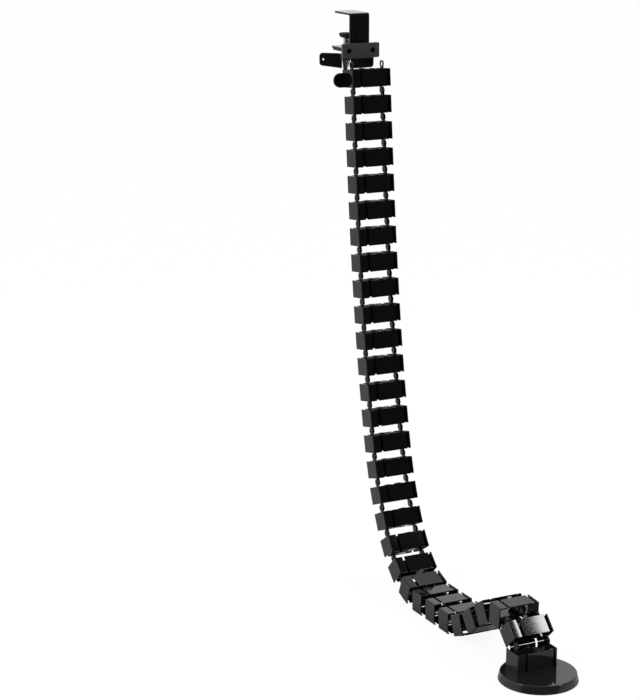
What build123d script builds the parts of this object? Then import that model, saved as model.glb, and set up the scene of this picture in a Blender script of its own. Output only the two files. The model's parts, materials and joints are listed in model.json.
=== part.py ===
from build123d import *
from math import asin, atan, cos, degrees, radians, sin
import os

# A cable spine: hollow links hung from a clamp on a desk edge, ending in a round foot on the floor.
# Millimetres, +Z up, front towards -Y. The origin is the middle of the desk jaw's underside, which
# lies on the desk top. A link is drawn hanging straight down from the axis of its own top eyes.

# Clamp frame: a folded strip, with the jaw on top, the web in front and the arm below
strip_width = 33.0
strip_thickness = 3.0
fold_radius = 1.2
jaw_reach = 50.5
jaw_tip_radius = 4.0
jaw_opening = 51.0
arm_reach = 60.5
arm_flange_drop = 3.0
arm_flange_thickness = 2.5
arm_flange_taper = 4.0
thread_boss_diameter = 17.0
web_ear_span = 54.0
web_ear_height = 12.0
web_rib_width = 3.0
web_rib_height = 1.0
web_rib_spacing = 16.0
rib_slant = 40.0
left_rib_length = 15.0
right_rib_length = 29.0
rib_top_drop = 12.0

# Grey block across the web, and the strap that hangs from it
block_width = 63.0
block_height = 22.5
block_thickness = 5.0
block_corner = 2.5
corner_flats = 2
block_drop = 53.0
block_screw_spacing = 40.4
screw_diameter = 4.0
screw_head_diameter = 7.6
countersink_depth = 2.0
nut_across_flats = 7.0
nut_height = 3.2
screw_overhang = 1.0
strap_thickness = 2.0
strap_width = 18.0
strap_crank_height = 6.0
strap_leg_width = 5.5
strap_leg_left = 29.5
strap_foot_left = 31.0
strap_tab_left = 45.5
strap_tab_height = 13.0
strap_foot_margin = 3.0
strap_fold_radius = 3.0
tongue_width = 10.0
tongue_rise = 16.0
tongue_slant = 6.5
strap_bolt_rise = 5.5
strap_bolt_diameter = 5.0
strap_bolt_head = 8.0
strap_bolt_head_height = 2.6
strap_bolt_head_slant = 1.2
pan_head_diameter = 7.0
pan_head_height = 2.2
boss_screw_diameter = 3.5
boss_screw_length = 14.0
strap_screw_spacing = 11.0

# Clamp screw with its pad and wing handle
spindle_setback = 40.5
spindle_diameter = 10.0
thread_pitch = 1.5
pad_gap_to_jaw = 30.5
pad_diameter = 23.0
pad_height = 7.0
pad_rim = 3.0
socket_depth = 4.0
spindle_neck = 24.5
hub_diameter = 13.6
hub_height = 9.0
hub_cone_height = 16.0
hub_tip_diameter = 3.0
collar_diameter = 21.0
wing_span = 86.0
wing_thickness = 5.0
wing_height = 20.0
wing_root_height = 23.0
wing_corner = 5.0
wing_hole_diameter = 3.2
wing_hole_inset = 6.0
wing_turn = 42.5

# Chain: equal links on a fixed pitch, two lips and a front panel round a centre bar
link_count = 29
link_width = 65.0
link_depth = 32.0
link_length = 26.5
link_pitch = 40.0
link_corner = 2.0
wall = 2.0
bar_thickness = 2.4
wide_lip = 13.4
narrow_lip = 3.5
slit = 3.1
boss_rise = 1.5
boss_end_taper = 25.0

# Hinge knuckles: outer eyes on a link's top end, inner lugs with pins on its bottom end
knuckle_sides = 8
small_round_sides = 6
eye_across = 11.0
eye_thickness = 2.0
eye_inset = 5.8
eye_neck = 8.0
lug_across = 10.0
lug_thickness = 1.8
lug_neck = 8.0
knuckle_gap = 0.3
hinge_bore = 7.0
pin_clearance = 0.1
pin_overhang = 0.3

# First link's screw plate
ear_plate_span = 97.0
ear_plate_height = 22.0
ear_plate_thickness = 2.5
ear_hole_spacing = 80.0
ear_hole_diameter = 5.0

# Where the chain hangs from, and the slope of each link below the horizontal, in degrees
chain_stand_off = 23.5
chain_drop = 72.0
first_slope = 85.0
slope_change = 0.04
hanging_links = 15
lower_slopes = (74, 68.5, 64, 56.5, 43.5, 20.5, 0, 0, 0, -22, -39, -31.5, 3.6)
floor_link = 22

# Foot: a round cover over a steel weight and a soft pad, with a link-like holder standing on it
disc_diameter = 112.4
disc_height = 12.5
disc_edge = 1.8
disc_side_slant = 2.3
disc_top_wall = 2.75
disc_side_wall = 4.5
disc_forward = 18.5
holder_height = 27.0
pad_sheet_thickness = 1.5
pad_sheet_stand_out = 0.8
inner_clearance = 0.3
screw_clearance = 0.1
head_clearance = 0.7

# Places that follow from the sizes above
web_rear = -jaw_reach / 2
web_front = web_rear - strip_thickness
arm_top = -jaw_opening
arm_under = arm_top - strip_thickness
arm_tip = web_rear + arm_reach
strap_front = web_front - strap_thickness
block_front = web_front - block_thickness
block_top = -block_drop + block_height / 2
link_gap = link_pitch - link_length
link_top = -link_gap / 2
link_bottom = link_top - link_length
half_width = link_width / 2
half_depth = link_depth / 2
panel_left = -half_width + wide_lip + slit
panel_right = half_width - narrow_lip - slit
boss_x = (panel_left + panel_right) / 2
boss_across = half_depth - wall - bar_thickness / 2
boss_y = -(bar_thickness + boss_across) / 2
eye_outer_x = half_width - eye_inset
eye_inner_x = eye_outer_x - eye_thickness
lug_outer_x = eye_inner_x - knuckle_gap
lug_inner_x = lug_outer_x - lug_thickness
spindle_y = web_rear + spindle_setback
pad_top = -pad_gap_to_jaw
pad_under = pad_top - pad_height
spindle_top = pad_under + socket_depth
hub_top = pad_under - spindle_neck
weight_height = disc_height - disc_top_wall - pad_sheet_thickness - inner_clearance


def link_slopes():
    """The slope of every link, from the clamp to the foot."""
    hanging = [first_slope - slope_change * k * k for k in range(hanging_links)]
    slopes = hanging + list(lower_slopes)
    rise = sum(sin(radians(slope)) for slope in slopes[floor_link - 1:]) * link_pitch
    foot_hinge = link_gap / 2 + holder_height + disc_height
    last = degrees(asin((half_depth - rise - foot_hinge) / link_pitch))
    return slopes + [last]


def hinge_points():
    """The hinge axis above each link and the one below the last link."""
    y, z = web_front - chain_stand_off, -chain_drop
    points = [(y, z)]
    for slope in link_slopes():
        y -= link_pitch * cos(radians(slope))
        z -= link_pitch * sin(radians(slope))
        points.append((y, z))
    return points


def link_place(number):
    """Moves a link that is drawn hanging to its place in the chain, counted from 1."""
    y, z = hinge_points()[number - 1]
    return Pos(0, y, z) * Rot(X=link_slopes()[number - 1] - 90)


def half_turn(shape):
    """A shape and its copy, turned half a turn about the link's own length."""
    return shape + Rot(Z=180) * shape


def both_sides(shape):
    """A shape and its mirror image across the middle plane."""
    return shape + mirror(shape, about=Plane.YZ)


def flat_sided(across, sides):
    """A small round outline drawn with a few flats, as wide across them as given."""
    return Rot(Z=180 / sides) * RegularPolygon(across / 2, sides, major_radius=False)


def slot_outline(length, height, flats):
    """A bar with round ends, each drawn with a few flats."""
    turns = [90 - step * 180 / flats for step in range(flats + 1)]
    right = [((length - height) / 2 + height / 2 * cos(radians(turn)), height / 2 * sin(radians(turn)))
             for turn in turns]
    return make_face(Polyline(*right, *[(-x, -y) for x, y in right], close=True))


def cornered_outline(width, depth, radius, flats):
    """A rectangle whose round corners are drawn with a few flats, to keep the repeated link light."""
    turns = [quarter * 90 + step * 90 / flats for quarter in range(4) for step in range(flats + 1)]
    points = []
    for index, turn in enumerate(turns):
        quarter = index // (flats + 1)
        centre_x = (width / 2 - radius) * (1 if quarter in (0, 3) else -1)
        centre_y = (depth / 2 - radius) * (1 if quarter in (0, 1) else -1)
        points.append((centre_x + radius * cos(radians(turn)), centre_y + radius * sin(radians(turn))))
    return make_face(Polyline(*points, close=True))


def front_sketch(sketch, y, depth):
    """A sketch drawn as seen from the front, as a plate from y backwards."""
    return Pos(0, y, 0) * extrude(Plane.XZ * sketch, -depth)


def shank(diameter, length):
    """A screw shank, or with a clearance added the hole for it, from Y = 0 backwards."""
    return front_sketch(flat_sided(diameter, small_round_sides), 0, length)


def upright_shank(diameter, length):
    """A shank or hole that stands on Z = 0."""
    return extrude(flat_sided(diameter, small_round_sides), length)


def folded_strip(points, radius, thickness, width):
    """A strip folded along a path in the YZ plane, centred on the middle plane."""
    path = FilletPolyline(*points, radius=radius)
    profile = Plane.YZ * trace(path, thickness)
    return extrude(profile, width / 2, both=True)


# Link

def link_section():
    """The link's outline seen from above: two lips, two panels, the bar and a boss for each panel."""
    outer = cornered_outline(link_width, link_depth, link_corner, 1)
    inner = Rectangle(link_width - 2 * wall, link_depth - 2 * wall)
    left_slit = Pos(panel_left - slit / 2, -half_depth) * Rectangle(slit, 4 * wall)
    right_slit = Pos(panel_right + slit / 2, -half_depth) * Rectangle(slit, 4 * wall)
    bar = Rectangle(link_width - wall, bar_thickness)
    return outer - inner - half_turn(left_slit + right_slit) + bar + half_turn(boss_outline())


def boss_outline():
    """The front boss, which joins the bar and the front panel."""
    return Pos(boss_x, boss_y) * Rot(Z=30) * flat_sided(boss_across, small_round_sides)


def knuckle(head_across, neck_width, thickness, inner_x, pivot_z, root_z):
    """A flat plate across the hinge axis: three flats round the pivot, and a neck to the link's bar."""
    reach = head_across / 2 / cos(radians(180 / small_round_sides))
    away = 1 if pivot_z > root_z else -1
    head = [(reach * sin(radians(turn)), pivot_z + away * reach * cos(radians(turn))) for turn in (-90, -30, 30, 90)]
    outline = make_face(Polyline(*head, (neck_width / 2, root_z), (-neck_width / 2, root_z), close=True))
    return Pos(inner_x, 0, 0) * extrude(Plane.YZ * outline, thickness)


def eyes():
    """The pair of eyes on the top end of a link or of the foot's holder."""
    plate = knuckle(eye_across, eye_neck, eye_thickness, eye_inner_x, 0, link_top)
    outline = RegularPolygon(hinge_bore / 2, small_round_sides, major_radius=False)
    bore = extrude(Plane.YZ * outline, link_width)
    return both_sides(plate - bore)


def lugs():
    """The pair of lugs on a link's bottom end, each with a pin that snaps into an eye."""
    plate = knuckle(lug_across, lug_neck, lug_thickness, lug_inner_x, -link_pitch, link_bottom)
    outline = RegularPolygon(hinge_bore / 2 - pin_clearance, small_round_sides)
    pin = extrude(Plane.YZ * outline, eye_outer_x + pin_overhang - lug_outer_x)
    return both_sides(plate + Pos(lug_outer_x, 0, -link_pitch) * pin)


def boss_ends():
    """The ends of the bosses, proud of the link's top."""
    return half_turn(extrude(Pos(0, 0, link_top) * boss_outline(), boss_rise, taper=boss_end_taper))


def hollow_body(length):
    """The hollow link body, hanging from its top end."""
    return extrude(Pos(0, 0, link_top - length) * link_section(), length)


def plain_link():
    """One moulded link of the chain."""
    return hollow_body(link_length) + eyes() + lugs() + boss_ends()


def first_link():
    """The top link, with a screw plate moulded across its back."""
    middle_z = link_bottom + ear_plate_height / 2
    holes = [Pos(x, 0) * Circle(ear_hole_diameter / 2) for x in (-ear_hole_spacing / 2, ear_hole_spacing / 2)]
    outline = slot_outline(ear_plate_span, ear_plate_height, knuckle_sides) - holes
    plate = front_sketch(Pos(0, middle_z) * outline, half_depth, ear_plate_thickness)
    link = plain_link() + plate
    for z in strap_screw_heights():
        pilot = shank(boss_screw_diameter + 2 * screw_clearance, boss_screw_length)
        link -= Pos(-boss_x, strap_seat() - boss_screw_length + strap_thickness, z) * pilot
    return link


def strap_seat():
    """How far behind the first hinge axis the screw plate's back face stands."""
    return half_depth + ear_plate_thickness


def strap_screw_heights():
    """The heights of the two strap screws, in the first link's own frame."""
    middle = link_bottom + ear_plate_height / 2
    return (middle + strap_screw_spacing / 2, middle - strap_screw_spacing / 2)


# Clamp

def clamp_frame():
    """The folded frame, with pressed ribs, side ears, arm flanges and the threaded boss."""
    half = strip_thickness / 2
    corner_y = web_rear - half
    path = ((jaw_reach / 2, half), (corner_y, half), (corner_y, arm_top - half), (arm_tip, arm_top - half))
    frame = folded_strip(path, fold_radius + half, strip_thickness, strip_width)
    tips = frame.edges().filter_by(Axis.Z).filter_by(lambda edge: edge.center().Y > 0)
    frame = fillet(tips, jaw_tip_radius)
    frame += web_ears() + both_sides(arm_flange()) + web_ribs()
    boss_height = strip_thickness + arm_flange_drop
    top_aligned = (Align.CENTER, Align.CENTER, Align.MAX)
    frame += Pos(0, spindle_y, arm_top) * Cylinder(thread_boss_diameter / 2, boss_height, align=top_aligned)
    frame -= Pos(0, spindle_y, arm_top) * Cylinder(spindle_diameter / 2 + screw_clearance, 4 * boss_height)
    for x in (-block_screw_spacing / 2, block_screw_spacing / 2):
        bore = shank(screw_diameter + 2 * screw_clearance, strip_thickness)
        frame -= Pos(x, web_front, -block_drop) * bore
    bolt_bore = shank(strap_bolt_diameter + 2 * screw_clearance, strip_thickness)
    return frame - Pos(0, web_front, block_top + strap_bolt_rise) * bolt_bore


def web_ears():
    """The two side ears of the web, behind the block, that its screws go through."""
    outline = Pos(0, -block_drop) * cornered_outline(web_ear_span, web_ear_height, block_corner, 1)
    return front_sketch(outline, web_front, strip_thickness)


def arm_flange():
    """The turned-down right edge of the arm, cut back at a slant towards the tip."""
    outer = strip_width / 2
    start, end = web_rear - strip_thickness / 2, arm_tip - jaw_tip_radius
    low = arm_under - arm_flange_drop
    side = Plane.YZ * make_face(Polyline(
        (start, arm_under), (end, arm_under), (end - arm_flange_taper, low), (start, low), close=True))
    return Pos(outer - arm_flange_thickness, 0, 0) * extrude(side, arm_flange_thickness)


def web_ribs():
    """The two pressed ribs that stiffen the web, the left one shorter."""
    ribs = Part()
    for side, length in ((-1, left_rib_length), (1, right_rib_length)):
        outline = Pos(side * web_rib_spacing / 2, -rib_top_drop - length / 2) * Rectangle(web_rib_width, length)
        ribs += Pos(0, web_front, 0) * extrude(Plane.XZ * outline, web_rib_height, taper=rib_slant)
    return ribs


def mounting_block():
    """The grey block, with countersunk holes and a groove behind for the strap."""
    outline = Pos(0, -block_drop) * cornered_outline(block_width, block_height, block_corner, corner_flats)
    block = front_sketch(outline, block_front, block_thickness)
    groove = Pos(0, -block_drop) * Rectangle(strap_width + 2 * inner_clearance, 2 * block_height)
    arm_reach_left = strap_leg_left + inner_clearance
    arm_height = strap_crank_height + inner_clearance
    groove += Pos(-arm_reach_left / 2, -block_drop - block_height / 2 + arm_height / 2) * Rectangle(
        arm_reach_left, arm_height)
    block -= front_sketch(groove, strap_front, strap_thickness)
    for x in (-block_screw_spacing / 2, block_screw_spacing / 2):
        block -= Pos(x, block_front, -block_drop) * screw_solid(block_thickness, screw_clearance)
    return block


def screw_solid(length, clearance=0.0):
    """A countersunk screw that points backwards, its flat head at Y = 0, or the hole for it."""
    slant = degrees(atan((screw_head_diameter - screw_diameter) / 2 / countersink_depth))
    rim = Plane.XZ * flat_sided(screw_head_diameter + 2 * clearance, knuckle_sides)
    return shank(screw_diameter + 2 * clearance, length) + extrude(rim, -countersink_depth, taper=slant)


def block_screws():
    """The two screws through the block and the web's ears."""
    length = block_thickness + strip_thickness + nut_height + screw_overhang
    return [
        Pos(x, block_front, -block_drop) * screw_solid(length)
        for x in (-block_screw_spacing / 2, block_screw_spacing / 2)]


def block_nuts():
    """The nuts behind the web's ears."""
    outline = Rot(Z=30) * RegularPolygon(nut_across_flats / 2, 6, major_radius=False)
    outline -= flat_sided(screw_diameter + 2 * screw_clearance, small_round_sides)
    return [
        front_sketch(Pos(x, -block_drop) * outline, web_rear, nut_height)
        for x in (-block_screw_spacing / 2, block_screw_spacing / 2)]


def hanger_strap():
    """The folded strap from the web down to the first link's screw plate."""
    first_y, first_z = hinge_points()[0]
    seat = strap_seat() + strap_thickness / 2
    slope = radians(link_slopes()[0])

    def beside_link(along):
        """A point of the strap's middle line, so far along the first link."""
        return (
            first_y + seat * sin(slope) - along * cos(slope),
            first_z - seat * cos(slope) - along * sin(slope))

    upper_y = web_front - strap_thickness / 2
    bend_z = -block_drop - block_height / 2 - strap_fold_radius / 2
    shoulder = block_top - strap_thickness
    path = ((upper_y, shoulder), (upper_y, bend_z), beside_link(-link_top), beside_link(-link_bottom))
    strap = folded_strip(path, strap_fold_radius, strap_thickness, 2 * strap_tab_left)
    tab_middle = beside_link(ear_plate_height / -2 - link_bottom)[1]
    strap &= front_sketch(strap_blank(shoulder, path[2][1], tab_middle), -2 * link_pitch, 2 * link_pitch)
    strap += front_sketch(tongue_outline(shoulder), strap_front, strap_thickness)
    bolt_bore = shank(strap_bolt_diameter + 2 * screw_clearance, strap_thickness)
    strap -= Pos(0, strap_front, block_top + strap_bolt_rise) * bolt_bore
    for z in strap_screw_heights():
        bore = shank(boss_screw_diameter + 2 * screw_clearance, 2 * strap_thickness)
        strap -= link_place(1) * Pos(-boss_x, strap_seat() - strap_thickness / 2, z) * bore
    return strap


def strap_blank(shoulder, foot_top, tab_middle):
    """The strap's outline from the front: wide top, arm, leg, and a foot behind the link with a side tab."""
    side, low = strap_width / 2, -block_drop - block_height / 2
    leg_right = strap_leg_width - strap_leg_left
    foot_right = strap_foot_margin + pan_head_diameter / 2 - boss_x
    bottom = foot_top - 2 * link_length
    tab_low, tab_high = tab_middle - strap_tab_height / 2, tab_middle + strap_tab_height / 2
    return make_face(Polyline(
        (side, shoulder), (side, low), (leg_right, low), (leg_right, foot_top), (foot_right, foot_top),
        (foot_right, bottom), (-strap_foot_left, bottom), (-strap_foot_left, tab_low),
        (-strap_tab_left, tab_low), (-strap_tab_left, tab_high), (-strap_foot_left, tab_high),
        (-strap_foot_left, foot_top),
        (-strap_leg_left, foot_top), (-strap_leg_left, low + strap_crank_height),
        (-side, low + strap_crank_height), (-side, shoulder), close=True))


def tongue_outline(shoulder):
    """The strap's narrow upper end, with slanted corners."""
    side, top = tongue_width / 2, block_top + tongue_rise
    right = ((side, shoulder), (side, top - tongue_slant), (side - tongue_slant / 2, top))
    left = tuple((-x, z) for x, z in reversed(right))
    return make_face(Polyline(*right, *left, close=True))


def strap_bolt():
    """The round-headed bolt that holds the strap's top to the web."""
    head = Cone(
        strap_bolt_head / 2, strap_bolt_head / 2 - strap_bolt_head_slant, strap_bolt_head_height,
        align=(Align.CENTER, Align.CENTER, Align.MIN))
    bolt = Rot(X=90) * head + shank(strap_bolt_diameter, strap_thickness + strip_thickness)
    return Pos(0, strap_front, block_top + strap_bolt_rise) * bolt


def strap_screws():
    """The two screws through the strap into the first link's rear boss."""
    screws = []
    for z in strap_screw_heights():
        place = link_place(1) * Pos(-boss_x, strap_seat() + strap_thickness, z)
        head = front_sketch(flat_sided(pan_head_diameter, knuckle_sides), 0, pan_head_height)
        screw = head + mirror(shank(boss_screw_diameter, boss_screw_length - 1), about=Plane.XZ)
        screws.append(place * screw)
    return screws


def pressure_pad():
    """The round pad that bears on the underside of the desk top, domed below, with a socket."""
    pad = Cylinder(pad_diameter / 2, pad_height, align=(Align.CENTER, Align.CENTER, Align.MIN))
    pad = chamfer(pad.edges().sort_by(Axis.Z)[:1], pad_height - pad_rim)
    socket = Cylinder(
        spindle_diameter / 2 + screw_clearance, socket_depth, align=(Align.CENTER, Align.CENTER, Align.MIN))
    return Pos(0, spindle_y, pad_under) * (pad - socket)


def clamp_screw():
    """The plated screw with its turned hub and pointed end, one piece."""
    profile = Polyline(
        (0, spindle_top), (spindle_diameter / 2, spindle_top), (spindle_diameter / 2, hub_top),
        (hub_diameter / 2, hub_top), (hub_diameter / 2, hub_top - hub_height),
        (hub_tip_diameter / 2, hub_top - hub_height - hub_cone_height),
        (0, hub_top - hub_height - hub_cone_height), close=True)
    return Pos(0, spindle_y, 0) * revolve(make_face(Plane.XZ * profile), Axis.Z)


def wing_handle():
    """The wing handle: a collar round the hub and two flat wings, the left one with a small hole."""
    collar = Cylinder(collar_diameter / 2, hub_height, align=(Align.CENTER, Align.CENTER, Align.MAX))
    wings = front_sketch(wing_outline(), -wing_thickness / 2, wing_thickness)
    bore = Cylinder(hub_diameter / 2 + inner_clearance, 3 * wing_height)
    handle = collar + wings - bore
    return Pos(0, spindle_y, hub_top) * Rot(Z=-wing_turn) * handle


def wing_outline():
    """Both wings from the front: taller towards the hub, with round corners and a hole on the left."""
    tip = cornered_outline(wing_span, wing_height, wing_corner, corner_flats)
    reach = wing_span / 2 - wing_corner
    root = Polyline((-reach, -wing_height), (-reach, 0), (reach, 0), (reach, -wing_height), (0, -wing_root_height),
                    close=True)
    hole = Pos(wing_hole_inset - wing_span / 2, -wing_height / 2) * flat_sided(wing_hole_diameter, knuckle_sides)
    return Pos(0, -wing_height / 2) * tip + make_face(root) - hole


# Foot

def foot_place():
    """The foot's holder hangs, like a link, from the chain's last hinge axis."""
    y, z = hinge_points()[-1]
    return Pos(0, y, z)


def foot_floor():
    """The floor's height in the frame of the foot's holder."""
    return link_top - holder_height - disc_height


def base_holder():
    """The upright link-like holder, with eyes above and pilot holes in its bosses below."""
    holder = hollow_body(holder_height) + eyes() + boss_ends()
    pilot = upright_shank(boss_screw_diameter + 2 * screw_clearance, boss_screw_length)
    return foot_place() * (holder - half_turn(Pos(boss_x, boss_y, link_top - holder_height) * pilot))


def base_disc():
    """The round cover, hollow below, with two holes for the holder's screws."""
    radius, height = disc_diameter / 2, disc_height - pad_sheet_stand_out
    inner, ceiling = radius - disc_side_wall, height - disc_top_wall
    top_radius = radius - disc_side_slant
    profile = Polyline(
        (0, height), (top_radius - disc_edge, height), (top_radius, height - disc_edge), (radius, 0),
        (inner, 0), (inner, ceiling), (0, ceiling), close=True)
    cover = revolve(make_face(Plane.XZ * profile), Axis.Z)
    low = foot_floor() + pad_sheet_stand_out
    hole = upright_shank(boss_screw_diameter + 2 * screw_clearance, disc_height)
    holes = half_turn(Pos(boss_x, boss_y, low) * hole)
    return foot_place() * (Pos(0, -disc_forward, low) * cover - holes)


def base_weight():
    """The steel weight inside the cover, with two openings for the screw heads."""
    top = foot_floor() + disc_height - disc_top_wall
    radius = disc_diameter / 2 - disc_side_wall - inner_clearance
    plate = Pos(0, -disc_forward) * Circle(radius)
    plate -= half_turn(Pos(boss_x, boss_y) * flat_sided(pan_head_diameter + 2 * head_clearance, knuckle_sides))
    return foot_place() * extrude(Pos(0, 0, top - weight_height) * plate, weight_height)


def foot_pad():
    """The soft sheet under the weight that stands on the floor."""
    radius = disc_diameter / 2 - disc_side_wall - inner_clearance
    sheet = Cylinder(radius, pad_sheet_thickness, align=(Align.CENTER, Align.CENTER, Align.MIN))
    return foot_place() * Pos(0, -disc_forward, foot_floor()) * sheet


def base_screws():
    """The two screws from inside the cover up into the holder's bosses."""
    ceiling = foot_floor() + disc_height - disc_top_wall
    head = extrude(flat_sided(pan_head_diameter, knuckle_sides), -pan_head_height)
    screw = head + upright_shank(boss_screw_diameter, boss_screw_length)
    return [foot_place() * Pos(side * boss_x, side * boss_y, ceiling) * screw for side in (1, -1)]


def pieces():
    """Every node's name with its solid or list of solids."""
    named = {
        "clamp_frame": clamp_frame(),
        "mounting_block": mounting_block(),
        "block_screws": block_screws(),
        "block_nuts": block_nuts(),
        "hanger_strap": hanger_strap(),
        "strap_bolt": strap_bolt(),
        "strap_screws": strap_screws(),
        "pressure_pad": pressure_pad(),
        "clamp_screw": clamp_screw(),
        "wing_handle": wing_handle(),
        "link_01": link_place(1) * first_link(),
    }
    link = plain_link()
    for number in range(2, link_count + 1):
        named[f"link_{number:02d}"] = link_place(number) * link
    named["base_holder"] = base_holder()
    named["base_disc"] = base_disc()
    named["base_weight"] = base_weight()
    named["base_screws"] = base_screws()
    named["foot_pad"] = foot_pad()
    return named


os.makedirs("parts", exist_ok=True)
for name, shape in pieces().items():
    solid = Compound(children=shape) if isinstance(shape, list) else shape
    export_step(solid, f"parts/{name}.step")
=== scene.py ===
"""The looks of a cable spine, built round its packed construction model.

Shapes are worked out in millimetres, in the construction's own frame, and scaled to metres when
each mesh is made. Front is towards -Y, and Z is up.
"""
import json
from math import atan2, cos, degrees, pi, radians, sin, sqrt, tan

import bmesh
import bpy
from mathutils import Matrix, Vector


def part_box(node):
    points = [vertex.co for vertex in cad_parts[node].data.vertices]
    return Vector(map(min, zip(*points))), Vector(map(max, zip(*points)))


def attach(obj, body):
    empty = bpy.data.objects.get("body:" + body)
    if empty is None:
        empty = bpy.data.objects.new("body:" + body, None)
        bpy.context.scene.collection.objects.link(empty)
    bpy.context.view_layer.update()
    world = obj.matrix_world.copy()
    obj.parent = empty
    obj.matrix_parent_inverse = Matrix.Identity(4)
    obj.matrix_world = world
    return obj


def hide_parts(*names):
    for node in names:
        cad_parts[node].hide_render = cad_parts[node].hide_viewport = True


bl_info = {
    "name": "Cable spine",
    "version": (1, 0, 0),
    "blender": (4, 2, 0),
    "location": "3D View > Sidebar > Cable spine",
    "description": "Builds the links, clamp and foot of a cable spine round its construction model",
    "category": "Object",
}

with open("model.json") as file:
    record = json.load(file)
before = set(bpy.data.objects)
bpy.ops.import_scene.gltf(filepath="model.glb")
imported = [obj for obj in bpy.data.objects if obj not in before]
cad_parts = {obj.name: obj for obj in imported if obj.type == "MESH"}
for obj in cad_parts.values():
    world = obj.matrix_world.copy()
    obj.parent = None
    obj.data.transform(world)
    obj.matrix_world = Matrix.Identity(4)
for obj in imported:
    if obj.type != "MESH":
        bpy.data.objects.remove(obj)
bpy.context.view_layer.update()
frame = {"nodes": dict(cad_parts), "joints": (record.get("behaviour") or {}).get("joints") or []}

MILLIMETRE = 0.001
SMOOTH_ANGLE = radians(40)
CLOSEST_TURNS = 0.02
LEAST_LEAN = 0.5

# Links
LINK_COUNT = 29
LINK_PITCH = 40.0
HALF_WIDTH = 32.5
HALF_DEPTH = 16.0
LINK_TOP = -6.75
LINK_LENGTH = 26.5
LINK_BOTTOM = LINK_TOP - LINK_LENGTH
OUTER_CORNER = 2.0
WALL = 2.0
HALF_BAR = 1.2
PANEL_LEFT = -16.0
PANEL_RIGHT = 25.9
WIDE_LIP_END = 19.1
NARROW_LIP_END = 29.0
BOSS_X = 4.95
BOSS_Y = -7.6
BOSS_REACH = 6.4
BOSS_RADIUS = 6.75
DOME_PROFILE = ((6.3, -0.5), (6.2, 0.2), (5.8, 0.65), (5.1, 1.0), (4.1, 1.25), (2.8, 1.42), (0, 1.5))
FIRST_AXIS = Vector((0, -51.75, -72))

# Hinge knuckles
EYE_RADIUS = 5.5
EYE_INNER = 24.7
EYE_THICKNESS = 2.0
EYE_NECK = 8.0
EYE_BORE = 3.5
LUG_RADIUS = 5.0
LUG_INNER = 22.6
LUG_THICKNESS = 1.8
LUG_NECK = 8.0
PIN_RADIUS = 3.35
PIN_OVERHANG = 0.3
PIN_DIMPLE_RADIUS = 1.15
PIN_DIMPLE_DEPTH = 0.7
NECK_SINK = 0.5

# First link's screw plate
EAR_PLATE_SPAN = 97.0
EAR_PLATE_HEIGHT = 22.0
EAR_PLATE_THICKNESS = 2.5
EAR_HOLE_X = 40.0
EAR_HOLE_RADIUS = 2.5
EAR_PLATE_SINK = 0.3

# Clamp
STRIP_WIDTH = 33.0
STRIP_THICKNESS = 3.0
FOLD_RADIUS = 2.7
WEB_REAR = -25.25
WEB_FRONT = -28.25
JAW_TIP = 25.25
ARM_TIP = 35.25
ARM_TOP = -51.0
ARM_UNDER = -54.0
TIP_RADIUS = 4.0
WEB_EAR_SPAN = 54.0
WEB_EAR_HEIGHT = 12.0
WEB_EAR_CORNER = 2.5
FLANGE_THICKNESS = 2.5
FLANGE_DROP = 3.0
FLANGE_SLANT = 4.0
RIB_PLACES_AND_LENGTHS = ((-8, 15), (8, 29))
RIB_TOP = -12.0
RIB_WIDTH = 3.0
RIB_DEPTH = 2.0
ARM_BOSS_BORE = 5.1
ARM_BOSS_RADIUS = 8.5
ARM_BOSS_HEIGHT = 6.0
BLOCK_MIDDLE = -53.0
BLOCK_FRONT = -33.25
BLOCK_WIDTH = 63.0
BLOCK_HEIGHT = 22.5
BLOCK_CORNER = 2.5
BLOCK_TOP = BLOCK_MIDDLE + BLOCK_HEIGHT / 2
CHEEK_THICKNESS = 2.6
CHEEK_MARGIN = 0.4
SCREW_X = 20.2
SCREW_HOLE_RADIUS = 3.95
SCREW_HEAD_RADIUS = 3.8
SCREW_HEAD_HEIGHT = 1.2
SCREW_CROSS_REACH = 4.4
SCREW_CROSS_ARM = 1.1
SCREW_LENGTH = 12.0
SCREW_SHANK_RADIUS = 2.0
BOLT_ABOVE_BLOCK = 5.5
BOLT_DOME_PROFILE = ((0, 0.0), (4.0, 0.0), (4.0, 0.7), (3.75, 1.5), (3.2, 2.15), (2.5, 2.5), (1.9, 2.6))
BOLT_SOCKET_PROFILE = ((1.9, 2.6), (1.8, 1.2), (0, 1.2))
BOLT_SHANK_PROFILE = ((2.5, -5.0), (2.5, 0.0))
STRAP_FRONT = -30.25
STRAP_WIDTH = 18.0
STRAP_ARM_HEIGHT = 6.3
SPINDLE_Y = 15.25
SPINDLE_RADIUS = 5.0
SPINDLE_TOP = -33.5
PAD_TOP = -30.5
PAD_UNDER = -37.5
PAD_RADIUS = 11.5
HUB_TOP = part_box("wing_handle")[1].z / MILLIMETRE
HUB_HEIGHT = 9.0
HUB_RADIUS = 6.8
CONE_HEIGHT = 16.0
COLLAR_RADIUS = 10.5
WING_REACH = 43.0
WING_HEIGHT = 20.0
WING_ROOT_HEIGHT = 23.0
WING_THICKNESS = 5.0
WING_CORNER = 5.0
WING_EDGE = 1.2
WING_INNER_GAP = 0.4
WING_HOLE_RADIUS = 1.6
WING_HOLE_INSET = 6.0
WING_TURN = -42.5
THREAD_PITCH = 1.5
THREAD_DEPTH = 0.4

# Foot
FOOT_HOLDER_HEIGHT = 27.0
DISC_RADIUS = 56.2
DISC_TOP_RADIUS = 53.9
DISC_HEIGHT = 11.7
DISC_EDGE = 1.8
DISC_WALL = 4.5
DISC_TOP_WALL = 2.75
DISC_LOWER_EDGE = 0.4
DISC_CENTRE = 0.01
DISC_FORWARD = 18.5
DISC_UNDERSIDE = LINK_TOP - FOOT_HOLDER_HEIGHT - DISC_HEIGHT

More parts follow.
